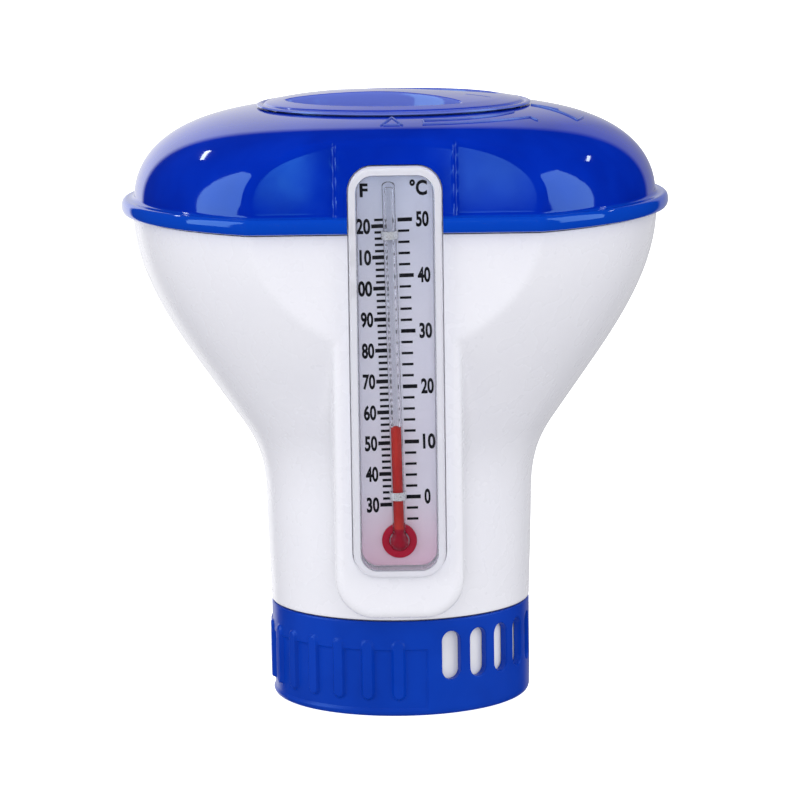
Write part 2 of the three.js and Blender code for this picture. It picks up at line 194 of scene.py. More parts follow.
def turned(name, outline, segments=192, wrap=False, start="face", end="face"):
    columns = np.linspace(0, 2 * math.pi, segments, endpoint=False)
    return loft(name, [circle_loop(r, z, columns) for r, z in outline], wrap, start, end)


def blend_max(a, b, k):
    return np.maximum(a, b) + np.clip(k - np.abs(a - b), 0, None) ** 2 / (4 * k)


def blend_min(a, b, k):
    return -blend_max(-a, -b, k)


def step_between(x, low, high):
    t = np.clip((x - low) / (high - low), 0, 1)
    return t * t * (3 - 2 * t)


def crossing(field, low, high, rounds=34):
    """Where field turns from below nought to above it, between low and high, for every column."""
    low, high = low.copy(), high.copy()
    for _ in range(rounds):
        middle = (low + high) / 2
        inside = field(middle) < 0
        low = np.where(inside, middle, low)
        high = np.where(inside, high, middle)
    return (low + high) / 2


def normals_of(outline):
    """The level share of the outline's normal at each point of an [R, z] outline."""
    step = np.gradient(outline, axis=0)
    return np.abs(step[:, 1]) / np.maximum(np.linalg.norm(step, axis=1), 1e-9)


FRONT_STEP = 0.35
FRONT_REACH = 44
BACK_COLUMNS = 190
COLUMNS = np.radians(np.concatenate([
    np.arange(-FRONT_REACH, FRONT_REACH, FRONT_STEP),
    np.linspace(FRONT_REACH, 360 - FRONT_REACH, BACK_COLUMNS, endpoint=False),
]))


# ---------------------------------------------------------------- float: dome

def dome_curve(steps):
    return bezier((DOME_RADIUS, BEAD_HIGH), (DOME_RADIUS, 184), (79, 198.5), (MOUTH, DOME_TOP), steps)


DOME_LINE = dome_curve(400)


def dome_height(radius):
    return np.interp(radius, DOME_LINE[::-1, 0], DOME_LINE[::-1, 1])


def flat_fronted(radius, z, level, front, fillet=2.7):
    """A level ring of the given radius cut off by the flat front, with a rounded edge between them."""
    slant = np.clip(level * np.cos(COLUMNS), -1, 1)
    k = np.clip(fillet * np.tan(np.arccos(slant) / 2), 0.35, 5)

    def field(r):
        x = r * np.sin(COLUMNS)
        plane = front(np.abs(x)) if callable(front) else front
        return blend_max((r - radius) * level, r * np.cos(COLUMNS) - plane, k)

    low = np.full_like(COLUMNS, 20.0)
    high = np.full_like(COLUMNS, 110.0)
    r = crossing(field, low, high)
    return np.stack([r * np.sin(COLUMNS), -r * np.cos(COLUMNS), np.full_like(COLUMNS, z)], 1)


def boss_front(x):
    return FLAT + BOSS_PROUD * (1 - step_between(x, DOME_BOSS_HALF - 0.9, DOME_BOSS_HALF + 0.5))


def dome_shell():
    lip = [(BORE, 185), (BORE, 201.35), (BORE + 0.1, 201.6), (BORE + 0.35, DOME_TOP), (MOUTH, DOME_TOP)]
    mouth = refined(lip, 1.5)
    loops = [circle_loop(r, z, COLUMNS) for r, z in mouth]
    curve = dome_curve(90)[::-1]
    level = normals_of(curve)
    for (r, z), n in zip(curve[1:], level[1:]):
        foot = BEAD_FILLET * np.clip((BEAD_HIGH + BEAD_FILLET - z) / BEAD_FILLET, 0, 1) ** 2
        back = DOME_LEAN * (z - BEAD_HIGH)
        loops.append(flat_fronted(r + foot, z, max(n, 0.08), lambda x: boss_front(x) + foot - back))
    bead = [(90.4, 171.9), (91.2, 171.88), (91.75, 171.6), (92.2, 171.1), (92.42, 170.4), (92.5, 169.6),
            (92.5, 169.0), (92.4, 168.3), (92.15, 167.65), (91.75, 167.15), (91.2, 166.92), (90.2, 166.9),
            (89.0, 166.9), (88.9, 167.0)]
    for r, z in refined(bead, 0.5):
        loops.append(flat_fronted(r, z, 1.0, r - 13.3, 2.2))
    for r, z in ((88.9, 167.4), (84.9, 167.4)):
        loops.append(flat_fronted(r, z, 1.0, r - 13.5))
    return loft("dome_shell_body", loops, wrap=True)


# ---------------------------------------------------------------- float: lower half

def cone_outline():
    neck = [(44.0, 33.32), (44.2, 33.6), (44.45, 41), (44.8, 50), (45.15, 62)]
    fillet = bezier((45.3, 70), (45.6, 80), (47.2, 87.2), (53.4, 96), 26)
    flare = bezier((65.9, 114), (78.5, 132), (88.0, 148), (88.6, 166.2), 44)
    return np.concatenate([refined(neck, 0.8), fillet, refined([(53.4, 96), (65.9, 114)], 1.2)[1:-1], flare])


def boss_field(r, z):
    """Distance to the boss under the thermometer, a tall slab with a round foot and rounded edges."""
    half, low, corner, edge = (CONE_BOSS[k] for k in ("half", "low", "corner", "edge"))
    x = np.abs(r * np.sin(COLUMNS))
    qx = x - (half - corner)
    qz = (low + corner) - z
    side = np.where((qx > 0) & (qz > 0), np.hypot(qx, np.maximum(qz, 0)), np.maximum(qx, qz)) - corner
    face = r * np.cos(COLUMNS) - FLAT
    a, b = side + edge, face + edge
    inside = np.minimum(np.maximum(a, b), 0) + np.hypot(np.maximum(a, 0), np.maximum(b, 0)) - edge
    return np.where(np.cos(COLUMNS) > 0.3, inside, 99.0)


def lower_shell():
    outline = cone_outline()
    extra = [z for z in (38.6, 39.2, 39.6, 39.85, 39.97, 40.02, 40.1, 40.25, 40.5, 40.8, 41.2, 41.7, 42.3)]
    heights = np.unique(np.round(np.concatenate([outline[:, 1], extra]), 3))
    radii = np.interp(heights, outline[:, 1], outline[:, 0])
    level = normals_of(np.stack([radii, heights], 1))
    loops = []
    for radius, z, n in zip(radii, heights, level):
        depth = FLAT - math.sqrt(max(radius ** 2 - CONE_BOSS["half"] ** 2, 0))
        blend = float(np.clip(0.35 * depth, 0.03, 6.5))
        slant = np.clip(n * np.cos(COLUMNS), -1, 1)
        k = np.clip(3.0 * np.tan(np.arccos(slant) / 2), 0.35, 5)

        def field(r):
            cone = blend_max((r - radius) * n, r * np.cos(COLUMNS) - FLAT, k)
            return blend_min(cone, boss_field(r, z), blend)

        r = crossing(field, np.full_like(COLUMNS, radius * 0.7), np.full_like(COLUMNS, 110.0))
        loops.append(np.stack([r * np.sin(COLUMNS), -r * np.cos(COLUMNS), np.full_like(COLUMNS, z)], 1))
    bore = refined([(41.5, 166.2), (41.5, 33.3)], 12)
    loops += [circle_loop(r, z, COLUMNS) for r, z in bore]
    return loft("lower_shell_body", loops, wrap=True)


# ---------------------------------------------------------------- rounded slots and outlines

def rounded_outline(half, low, high, corner, offset=0.0, steps=8):
    """x and z of a rounded rectangle, counter-clockwise seen from the front, grown by offset."""
    centres = ((half - corner, low + corner, -90), (half - corner, high - corner, 0),
               (-half + corner, high - corner, 90), (-half + corner, low + corner, 180))
    points = []
    for x, z, start in centres:
        for k in range(steps + 1):
            a = math.radians(start + 90 * k / steps)
            points.append((x + (corner + offset) * math.cos(a), z + (corner + offset) * math.sin(a)))
    return np.array(points)


def upright(outline, y):
    return np.stack([outline[:, 0], np.full(len(outline), float(y)), outline[:, 1]], 1)


def lens_loop(offset, y, steps=12):
    return upright(rounded_outline(LENS["half"], LENS["low"], LENS["high"], LENS["corner"], offset, steps), y)


def rotated(points, degrees):
    """Points turned about the axis, away from the front towards +X."""
    a = math.radians(degrees)
    turn = np.array([[math.cos(a), -math.sin(a), 0], [math.sin(a), math.cos(a), 0], [0, 0, 1]])
    return points @ turn.T


def slot_cutters(first, step, outer):
    """The slots' cutters as one mesh, each flaring out at the surface to round its edge."""
    made = []
    flare = ((36, 0), (outer - 0.55, 0), (outer - 0.3, 0.05), (outer - 0.1, 0.22), (outer + 0.1, 0.6),
             (outer + 2.5, 0.9))
    for i in range(SLOT["count"]):
        loops = []
        for radius, offset in flare:
            shape = rounded_outline(SLOT["half"], SLOT["low"], SLOT["high"], SLOT["half"], offset)
            loops.append(rotated(upright(shape, -radius), first + i * step))
        made.append(loft("slot", loops))
    return joined("slots", made)


# ---------------------------------------------------------------- dosing ring and tube

def pill_distance(u, z, half, low, high):
    return np.hypot(u, z - np.clip(z, low + half, high - half)) - half


def dosing_ring():
    columns = np.radians(np.arange(0, 360, 0.4))
    degrees = (np.degrees(columns) + 180) % 360 - 180
    outside = [(41.6, 0), (42.3, 0.12), (42.9, 0.4), (43.4, 0.8), (43.75, 1.35), (43.95, 2.0), (44.0, 2.6)]
    wall = refined([(44.0, 2.6), (44.15, 12), (44.15, 32.2)], 0.42)
    loops = [circle_loop(r, z, columns) for r, z in [(30, 0), *outside[:-1]]]
    for r, z in wall:
        radius = np.full_like(columns, r)
        inside_panel = np.minimum(
            step_between(11.6 - degrees, -0.3, 0.3),
            np.clip(step_between(22.8 - z, -0.25, 0.25) * step_between(z - 2.6, -0.25, 0.25), 0, 1),
        )
        inside_panel = np.where(degrees < -168.4, 0, inside_panel)
        radius -= 0.65 * inside_panel
        for i in range(RIB["count"]):
            middle = RIB["first"] - i * SLOT["pitch"]
            across = ((degrees - middle + 180) % 360 - 180) * math.pi / 180 * 44
            edge = pill_distance(across, z, RIB["half"], RIB["low"], RIB["high"])
            proud = 1 - step_between(edge, -0.75, 0.12)
            radius = np.maximum(radius, r - 0.65 * inside_panel + proud * (0.72 + 0.65 * inside_panel))
        loops.append(circle_loop(1.0, z, columns) * np.stack([radius, radius, np.ones_like(radius)], 1))
    inner = [(44.1, 32.45), (43.9, 32.65), (43.7, 32.7), (41.9, 32.7), (41.65, 32.6), (41.5, 32.35),
             (41.5, 9.2), (40.9, 8.8), (40.7, 8.5), (40.7, 7.4), (40.9, 7.1), (41.5, 6.6), (41.5, 3.0),
             (41.0, 2.5), (38.8, 2.5), (38.6, 2.7), (38.3, 3.0), (20, 3.0)]
    loops += [circle_loop(r, z, columns) for r, z in inner]
    ring = loft("dosing_ring_body", loops, start="point", end="point")
    return cut(ring, slot_cutters(SLOT["first"], SLOT["pitch"], 44.15))


def tablet_tube():
    outline = [(39.4, 3.9), (39.7, 3.6), (40.9, 3.6), (41.2, 3.9), (41.2, 6.3), (40.3, 6.5), (40.3, 9.3),
               (41.2, 9.5), (41.2, 36.3), (42.5, 36.3), (42.5, 38.3), (41.2, 38.3), (41.2, 193.5),
               (41.0, 193.75), (40.7, 193.8), (39.9, 193.8), (39.55, 193.7), (39.4, 193.4)]
    tube = turned("tablet_tube_body", outline, wrap=True)
    return cut(tube, slot_cutters(SLOT["first"] - SLOT["pitch"], -SLOT["pitch"], 41.2))


# ---------------------------------------------------------------- lid

WELL = {"outer": 37.0, "round": 53.7, "bar": 6.5, "corner": 4.0, "floor": 194.5}


def lid_height(radius):
    line = np.array(LID_TOP[::-1])
    return np.interp(radius, line[:, 0], line[:, 1])


def well_loop(offset, height, below_crown=True):
    """The finger well's outline grown by offset. Its height hangs from the lid's crown, or is level."""
    outer, round_, corner = WELL["outer"], WELL["round"], WELL["corner"]
    centre = WELL["bar"] + round_
    a, b = outer - corner, round_ - corner
    y = (a ** 2 - b ** 2 + centre ** 2) / (2 * centre)
    x = math.sqrt(a ** 2 - y ** 2)
    rim_from = math.atan2(y, x)
    bar_from = math.atan2(y - centre, x)
    points = []
    for k in range(61):
        angle = rim_from + (math.pi - 2 * rim_from) * k / 60
        points.append(((outer + offset) * math.cos(angle), (outer + offset) * math.sin(angle)))
    turn_from, turn_to = math.pi - rim_from, math.pi - bar_from
    for k in range(1, 12):
        angle = turn_from + (turn_to - turn_from) * k / 12
        points.append((-x + (corner + offset) * math.cos(angle), y + (corner + offset) * math.sin(angle)))
    for k in range(61):
        angle = math.pi - bar_from + (2 * bar_from + math.pi) * k / 60
        points.append(((round_ + offset) * math.cos(angle), centre + (round_ + offset) * math.sin(angle)))
    for k in range(1, 12):
        angle = bar_from + (rim_from - bar_from) * k / 12
        points.append((x + (corner + offset) * math.cos(angle), y + (corner + offset) * math.sin(angle)))
    points = np.array(points)
    radius = np.hypot(points[:, 0], points[:, 1])
    z = lid_height(radius) + height if below_crown else np.full(len(points), float(height))
    return np.stack([points[:, 0], points[:, 1], z], 1)


def well_cutter(turn):
    floor = WELL["floor"]
    bottom = [(-3.8, 0), (-3.3, 0.15), (-2.9, 0.6), (-2.6, 1.5)]
    bottom += [(-2.3 + 0.36 * k, 2.5 + 1.2 * k) for k in range(4)]
    edge = [(-0.5, -1.5), (-0.2, -0.75), (0.0, -0.35), (0.2, -0.13),
            (0.45, -0.03), (0.75, 0.02), (1.2, 1.5), (1.2, 4.0)]
    loops = [well_loop(offset, floor + height, False) for offset, height in bottom]
    loops += [well_loop(offset, height) for offset, height in edge]
    cutter = loft("well", loops)
    cutter.data.transform(Matrix.Rotation(turn, 4, "Z"))
    return cutter


def well_cup(turn):
    """The wall and floor under a finger well."""
    floor = WELL["floor"]
    cup = loft("cup", [well_loop(1.1, floor - 1.8, False), well_loop(1.6, floor - 1.3, False),
                       well_loop(1.6, 202.9, False)])
    cup.data.transform(Matrix.Rotation(turn, 4, "Z"))
    return cup


def lid_mark_cutter():
    """A short line sunk in the lid, across the end of the bar."""
    across, along = 30.0, 1.5
    loops = []
    for offset, depth in ((-0.1, -0.7), (0.0, -0.5), (0.12, 0.6)):
        shape = rounded_outline(4.6, -0.62, 0.62, 0.55, offset, 5)
        x, y = shape[:, 0] + across, shape[:, 1] + along
        loops.append(np.stack([x, y, lid_height(np.hypot(x, y)) + depth], 1))
    return loft("mark", loops)


def ring_sector(name, section, middle, reach, steps):
    """A section of [R, z] points swept round the axis, reach degrees to each side of the middle."""
    loops = []
    for angle in np.radians(np.linspace(middle - reach, middle + reach, steps)):
        loops.append([(r * math.cos(angle), r * math.sin(angle), z) for r, z in section])
    return loft(name, loops)


def lid_cap():
    plug = [(38.6, 194.9), (38.8, 194.65), (40.6, 194.6), (40.95, 194.75), (41.0, 195.1), (41.0, 199.2),
            (40.6, 199.2), (40.6, 201.4), (41.0, 201.4), (41.0, 202.2), (45.9, 202.2)]
    outline = refined(plug + LID_TOP, 1.6)
    under = refined([(38.6, 202.2), (38.6, 194.9)], 2.5)
    cap = turned("lid_body", [(20, 202.2), *under, *outline[1:]], 288, start="point", end="point")
    for turn in (0, math.pi):
        cut(cap, well_cup(turn), "UNION")
    for turn in (0, math.pi):
        cut(cap, well_cutter(turn))
    cut(cap, lid_mark_cutter())
    cap.data.transform(Matrix.Rotation(BAR_ANGLE, 4, "Z"))
    tab = [(39.6, 195.05), (42.2, 195.0), (42.5, 195.3), (42.5, 196.3), (42.2, 196.6), (39.6, 196.55)]
    for middle in (90, 210, 330):
        cut(cap, ring_sector("tab", tab, middle, 11, 16), "UNION")
    return cap


# ---------------------------------------------------------------- moulded marks on the dome

def surface_strip(path, width, height):
    """A low rounded ridge along [radius, angle from the front] points on the dome."""
    path = refined([(r, math.radians(a) * MARK_RADIUS) for r, a in path], 0.8)
    radius, angle = path[:, 0], path[:, 1] / MARK_RADIUS
    base = np.stack([radius * np.sin(angle), -radius * np.cos(angle), dome_height(radius)], 1)
    slope = (dome_height(radius + 0.2) - dome_height(radius - 0.2)) / 0.4
    normal = np.stack([-slope * np.sin(angle), slope * np.cos(angle), np.ones_like(angle)], 1)
    normal /= np.linalg.norm(normal, axis=1)[:, None]
    along = np.gradient(base, axis=0)
    along /= np.linalg.norm(along, axis=1)[:, None]
    side = np.cross(normal, along)
    section = ((-0.5, -0.2), (-0.46, 0.35), (-0.3, 0.8), (0, 1.0), (0.3, 0.8), (0.46, 0.35), (0.5, -0.2))
    loops = [np.array([p + s * u * width + n * v * height for u, v in section])
             for p, s, n in zip(base, side, normal)]
    return loft("strip", loops)


def dome_marks():
    paths = [
        [(57.8, -4.1), (47.8, -0.7), (57.8, 2.7)],
        [(57.6, -3.4), (57.6, 2.0)],
        [(57.3, 10.0), (52.9, 10.3), (52.8, 28.2), (51.4, 42.9), (49.8, 52.8)],
        [(57.3, 9.4), (57.4, 19.6), (57.4, 31.9), (57.3, 51.5), (61.0, 50.8)],
        [(46.9, 80.3), (65.5, 68.4), (65.1, 76.2)],
        [(49.3, 79.6), (56.4, 77.4)],
    ]
    strips = [surface_strip(path, MARK["width"], MARK["height"]) for path in paths]
    return joined("dome_marks", strips)


def dome_lugs():
    section = [(41.3, 197.1), (41.5, 196.9), (43.0, 196.9), (43.0, 198.9), (41.5, 198.9), (41.3, 198.7)]
    return joined("dome_lugs", [ring_sector("lug", section, middle, 15, 20) for middle in (45, 165, 285)])


# ---------------------------------------------------------------- thermometer

def quarter(steps):
    return [math.radians(90 * k / steps) for k in range(steps + 1)]


def thermometer_lens():
    inner, outer = 0.5, 1.0
    wall, front, back, window = (LENS[k] for k in ("wall", "front", "back", "window"))
    loops = [lens_loop(-wall - inner * (1 - math.sin(a)), window + inner * (1 - math.cos(a)))
             for a in quarter(5)]
    loops += [lens_loop(-wall, -74), lens_loop(-wall, back - 0.05), lens_loop(0.1 - wall, back),
              lens_loop(-0.15, back), lens_loop(0, back - 0.15), lens_loop(0, -74)]
    loops += [lens_loop(-outer * (1 - math.cos(a)), front + outer * (1 - math.sin(a))) for a in quarter(7)]
    return loft("thermometer_lens_cover", loops)


def scale_card():
    edge = ((-2.9, -70.8), (-2.7, -70.9), (-2.7, -71.2), (-2.8, CARD_FRONT))
    return loft("scale_card_plate", [lens_loop(offset, y) for offset, y in edge])


def tube_points(ball, stem, top, rounding=0.0):
    """Outline of a stem standing on a ball, from the ball's underside up."""
    last = math.pi - math.asin(stem / ball) - 0.25
    points = [(ball * math.sin(last * k / 14), BULB_Z - ball * math.cos(last * k / 14)) for k in range(1, 15)]
    end = points[-1]
    points += [(stem + (end[0] - stem) * (1 - k / 5) ** 2, end[1] + 1.6 * k / 5) for k in range(1, 6)]
    if rounding:
        points += [(stem, top - rounding)]
        points += [(stem * math.cos(a), top - rounding + rounding * math.sin(a)) for a in quarter(5)[1:-1]]
    else:
        points += [(stem, top)]
    return points


def leaning(obj):
    """The glass and the print lean a little to the left, about the bulb."""
    pivot = Matrix.Translation((0, 0, BULB_Z * MM))
    obj.data.transform(pivot @ Matrix.Rotation(INSERT_LEAN, 4, "Y") @ pivot.inverted())
    return obj


def at_glass(obj):
    obj.data.transform(Matrix.Translation((0, GLASS_Y * MM, 0)))
    return leaning(obj)


def glass_tube():
    outside = tube_points(3.0, 2.1, 183.5, 1.2)
    inside = tube_points(2.45, 1.1, 181.8, 0.6)
    outer = turned("outer", outside, 48, start="point", end="point")
    bore = turned("bore", inside, 40, start="point", end="point")
    bore.data.flip_normals()
    return at_glass(joined("glass_tube_stem", [outer, bore]))


def spirit_column():
    outline = tube_points(2.5, 1.15, 104.0, 0.5)
    return at_glass(turned("spirit_column_red", outline, 40, start="point", end="point"))


def bulb_collar():
    section = [(3.3, -71.7), (3.3, -72.7), (3.5, -72.95), (3.8, -73.0), (5.3, -73.0), (5.6, -72.85),
               (5.7, -72.6), (5.7, -71.7), (5.6, -71.6), (3.4, -71.6)]
    loops = []
    for k in range(72):
        a = 2 * math.pi * k / 72
        loops.append([(r * math.sin(a), y, BULB_Z + r * math.cos(a)) for r, y in section])
    return leaning(loft("bulb_collar_ring", loops, wrap=True))


def tube_clip(name, height):
    """A thin metal strap over the glass, with a foot on each side."""
    outer, inner, foot = 2.5, 2.3, 2.75
    arc = [math.radians(-90 + 180 * k / 24) for k in range(25)]
    front = [(outer * math.sin(a), GLASS_Y - outer * math.cos(a)) for a in arc]
    back = [(inner * math.sin(a), GLASS_Y - inner * math.cos(a)) for a in arc]
    outline = [(-foot, -71.62), (-foot, -71.82), (-outer, -71.9), *front, (outer, -71.9), (foot, -71.82),
               (foot, -71.62), (inner, -71.65), *back[::-1], (-inner, -71.65)]
    loops = [[(x, y, height + z) for x, y in outline] for z in (-1.3, -1.2, 1.2, 1.3)]
    return leaning(loft(name, loops))


# ---------------------------------------------------------------- printed scale

def printed_text(words, x, z, height, width):
    """A word as a thin printed mesh on the card, centred at x and z, scaled to the given size."""
    curve = bpy.data.curves.new("text", "FONT")
    curve.body = words
    curve.resolution_u = 4
    curve.extrude = 0.03
    curve.offset = 0.034
    obj = bpy.data.objects.new("text", curve)
    bpy.context.scene.collection.objects.link(obj)
    graph = bpy.context.evaluated_depsgraph_get()
    mesh = bpy.data.meshes.new_from_object(obj.evaluated_get(graph))
    bpy.data.objects.remove(obj)
    points = np.array([v.co for v in mesh.vertices])
    low, high = points.min(0), points.max(0)
    middle = (low + high) / 2
    sx, sz = width / (high[0] - low[0]), height / (high[1] - low[1])
    for v, p in zip(mesh.vertices, points):
        v.co = (
            (x + (p[0] - middle[0]) * sx) * MM,
            (CARD_FRONT - 0.02 - (0.03 if p[2] > middle[2] else 0)) * MM,
            (z + (p[1] - middle[1]) * sz) * MM,
        )
    made = bpy.data.objects.new("text", mesh)
    bpy.context.scene.collection.objects.link(made)
    return made


def printed_bar(x0, x1, z, thickness):
    low, high = z - thickness / 2, z + thickness / 2
    loops = []
    for y in (CARD_FRONT - 0.02, CARD_FRONT - 0.05):
        loops.append([(x0, y, low), (x1, y, low), (x1, y, high), (x0, y, high)])
    return loft("bar", loops)


def height_of(celsius):
    return ZERO_C + MM_PER_C * celsius


def height_of_f(fahrenheit):
    return FREEZING_F + MM_PER_9_F * (fahrenheit - 32) / 9


DIGIT_HEIGHT = 5.1
MAJOR_TICK, MINOR_TICK = 1.25, 0.8


def digits_width(digits):
    return 2.1 * len(digits) - 0.1


def scale_print():
    marks = []
    for c in range(-4, 51, 2):
        major = c % 10 == 0
        marks.append(printed_bar(2.7, 7.4 if major else 6.4, height_of(c),
                                 MAJOR_TICK if major else MINOR_TICK))
    for f in range(30, 123, 2):
        major = f % 10 == 0
        z = height_of_f(f)
        marks.append(printed_bar(-5.9 if major else -4.9, -2.0, z, MAJOR_TICK if major else MINOR_TICK))
    for c in range(0, 51, 10):
        digits = str(c)
        width = digits_width(digits)
        marks.append(printed_text(digits, 8.5 + 1.1 * len(digits), height_of(c), DIGIT_HEIGHT, width))
    for f in range(30, 121, 10):
        digits = str(f)
        width = digits_width(digits)
        marks.append(printed_text(digits, -6.2 - width / 2, height_of_f(f), DIGIT_HEIGHT, width))
    marks.append(printed_text("F", -8.0, 180.6, 4.5, 2.7))
    marks.append(printed_text("°C", 9.7, 181.0, 5.4, 5.6))
    return leaning(joined("scale_print", marks))


# ---------------------------------------------------------------- materials

def material(name):
    made = bpy.data.materials.new(name)
    made.use_nodes = True
    nodes = made.node_tree.nodes
    shader = nodes["Principled BSDF"]
    return made, nodes, made.node_tree.links, shader


def noise(nodes, links, scale, detail=3.0, rough=0.5):
    where = nodes.new("ShaderNodeTexCoord")
    tex = nodes.new("ShaderNodeTexNoise")
    tex.inputs["Scale"].default_value = scale
    tex.inputs["Detail"].default_value = detail
    tex.inputs["Roughness"].default_value = rough
    links.new(where.outputs["Object"], tex.inputs["Vector"])
    return tex.outputs["Fac"]


def ramp(nodes, links, source, stops):
    node = nodes.new("ShaderNodeValToRGB")
    element = node.color_ramp.elements
    while len(element) < len(stops):
        element.new(0.5)
    for e, (place_, colour) in zip(element, stops):
        e.position = place_
        e.color = (*colour, 1)
    links.new(source, node.inputs["Fac"])
    return node.outputs["Color"]


def spread(nodes, links, source, low, high, from_low=0.35, from_high=0.65):
    node = nodes.new("ShaderNodeMapRange")
    node.inputs["From Min"].default_value = from_low
    node.inputs["From Max"].default_value = from_high
    node.inputs["To Min"].default_value = low
    node.inputs["To Max"].default_value = high
    links.new(source, node.inputs["Value"])
    return node.outputs["Result"]


def bump(nodes, links, source, distance):
    node = nodes.new("ShaderNodeBump")
    node.inputs["Distance"].default_value = distance
    links.new(source, node.inputs["Height"])
    return node.outputs["Normal"]


def mixed(nodes, links, share, colour, other):
    """The colour where share is nought, and the other one where it is one."""
    mix = nodes.new("ShaderNodeMix")
    mix.data_type = "RGBA"
    links.new(share, mix.inputs["Factor"])
    links.new(colour, mix.inputs["A"])
    mix.inputs["B"].default_value = (*other, 1)
    return mix.outputs["Result"]


def split_up(nodes, links, vector):
    node = nodes.new("ShaderNodeSeparateXYZ")
    links.new(vector, node.inputs["Vector"])
    return node.outputs


def below(nodes, links, colour, height, other):
    """The colour above a height in mm, and the other one below it."""
    z = split_up(nodes, links, nodes.new("ShaderNodeTexCoord").outputs["Object"])["Z"]
    share = spread(nodes, links, z, 1, 0, (height - 0.3) * MM, (height + 0.3) * MM)
    return mixed(nodes, links, share, colour, other)


def upright_faces(nodes, links, colour, other):
    """The colour on level faces, and the other one painted on upright faces as painted light."""
    z = split_up(nodes, links, nodes.new("ShaderNodeNewGeometry").outputs["Normal"])["Z"]
    return mixed(nodes, links, spread(nodes, links, z, 1, 0, 0.7, 0.9), colour, other)


def plastic(name, dark, light, gloss, ripple=0.000002, tint=None, low=None, painted_light_upright=None, shine=0.5):
    """Moulded plastic: slow colour drift, patchy gloss and a faint ripple.

    Low is a height and the colour under it; the upright colour is painted on upright faces as painted light.
    """
    made, nodes, links, shader = material(name)
    drift = noise(nodes, links, 55, 2)
    colour = ramp(nodes, links, drift, [(0.35, dark), (0.65, light)])
    if low:
        colour = below(nodes, links, colour, *low)
    # painted light: a lighter colour on upright faces
    if painted_light_upright:
        colour = upright_faces(nodes, links, colour, painted_light_upright)
    links.new(colour, shader.inputs["Base Color"])
    fine = noise(nodes, links, 120, 2, 0.5)
    links.new(spread(nodes, links, fine, gloss[0], gloss[1]), shader.inputs["Roughness"])
    links.new(bump(nodes, links, noise(nodes, links, 160, 3), ripple), shader.inputs["Normal"])
    shader.inputs["Specular IOR Level"].default_value = shine
    if tint:
        shader.inputs["Specular Tint"].default_value = (*tint, 1)
    return made


def rim_share(nodes, links):
    """One on the wall round the thermometer's window, nought on the window."""
    corner, wall = LENS["corner"], LENS["wall"]
    middle = (LENS["low"] + LENS["high"]) / 2
    reach = (LENS["half"] - corner, 0, (LENS["high"] - LENS["low"]) / 2 - corner)

    def step(operation, source, value=(0, 0, 0)):
        node = nodes.new("ShaderNodeVectorMath")
        node.operation = operation
        links.new(source, node.inputs[0])
        node.inputs[1].default_value = value
        return node.outputs

    where = nodes.new("ShaderNodeTexCoord")
    centred = step("SUBTRACT", where.outputs["Object"], (0, 0, middle * MM))["Vector"]
    level = step("MULTIPLY", centred, (1, 0, 1))["Vector"]
    beyond = step("SUBTRACT", step("ABSOLUTE", level)["Vector"], tuple(r * MM for r in reach))["Vector"]
    distance = step("LENGTH", step("MAXIMUM", beyond)["Vector"])["Value"]
    return spread(nodes, links, distance, 0, 1, (corner - wall - 0.1) * MM, (corner - wall + 0.1) * MM)


def clear(name, tint, ior, gloss, rim=0.0):
    """Clear plastic or glass that lets lamps through, with a pale diffuse painted on the rim as painted
    light.
    """
    made, nodes, links, shader = material(name)
    shader.inputs["Transmission Weight"].default_value = 1.0
    shader.inputs["IOR"].default_value = ior
    haze = noise(nodes, links, 500, 3)
    links.new(ramp(nodes, links, haze, [(0.3, tint), (0.7, tuple(min(1, c * 1.01) for c in tint))]),
              shader.inputs["Base Color"])
    links.new(spread(nodes, links, haze, gloss[0], gloss[1]), shader.inputs["Roughness"])
    out = nodes["Material Output"]
    see = nodes.new("ShaderNodeBsdfTransparent")
    see.inputs["Color"].default_value = (0.99, 0.99, 1.0, 1)
    mix = nodes.new("ShaderNodeMixShader")
    path = nodes.new("ShaderNodeLightPath")
    links.new(path.outputs["Is Shadow Ray"], mix.inputs["Fac"])
    links.new(shader.outputs["BSDF"], mix.inputs[1])
    links.new(see.outputs["BSDF"], mix.inputs[2])
    surface = mix.outputs["Shader"]
    if rim:
        # painted light: a pale diffuse on the lens's rim wall stands in for the light seen through the wall
        painted_rim_light = nodes.new("ShaderNodeBsdfDiffuse")
        painted_rim_light.inputs["Color"].default_value = (0.9, 0.9, 0.98, 1)
        amount = nodes.new("ShaderNodeMath")
        amount.operation = "MULTIPLY"
        links.new(rim_share(nodes, links), amount.inputs[0])
        amount.inputs[1].default_value = rim
        blend = nodes.new("ShaderNodeMixShader")
        links.new(amount.outputs["Value"], blend.inputs["Fac"])
        links.new(surface, blend.inputs[1])
        links.new(painted_rim_light.outputs["BSDF"], blend.inputs[2])
        surface = blend.outputs["Shader"]
    links.new(surface, out.inputs["Surface"])
    return made


def card_material():
    made, nodes, links, shader = material("printed_card")
    z = split_up(nodes, links, nodes.new("ShaderNodeTexCoord").outputs["Object"])["Z"]
    height = spread(nodes, links, z, 0, 1, 0.055, 0.188)
    speck = noise(nodes, links, 1800, 4, 0.6)
    tone = ramp(nodes, links, height, [
        (0.0, (0.88, 0.58, 0.72)),
        (0.2, (0.88, 0.85, 0.97)),
        (0.65, (0.86, 0.85, 0.97)),
        (1.0, (0.7, 0.74, 0.92)),
    ])
    mix = nodes.new("ShaderNodeMix")
    mix.data_type = "RGBA"
    mix.blend_type = "MULTIPLY"
    mix.inputs["Factor"].default_value = 1.0
    links.new(tone, mix.inputs["A"])
    links.new(ramp(nodes, links, speck, [(0.3, (0.95, 0.95, 0.96)), (0.7, (1, 1, 1))]), mix.inputs["B"])
    links.new(mix.outputs["Result"], shader.inputs["Base Color"])
    links.new(spread(nodes, links, speck, 0.45, 0.6), shader.inputs["Roughness"])
    return made


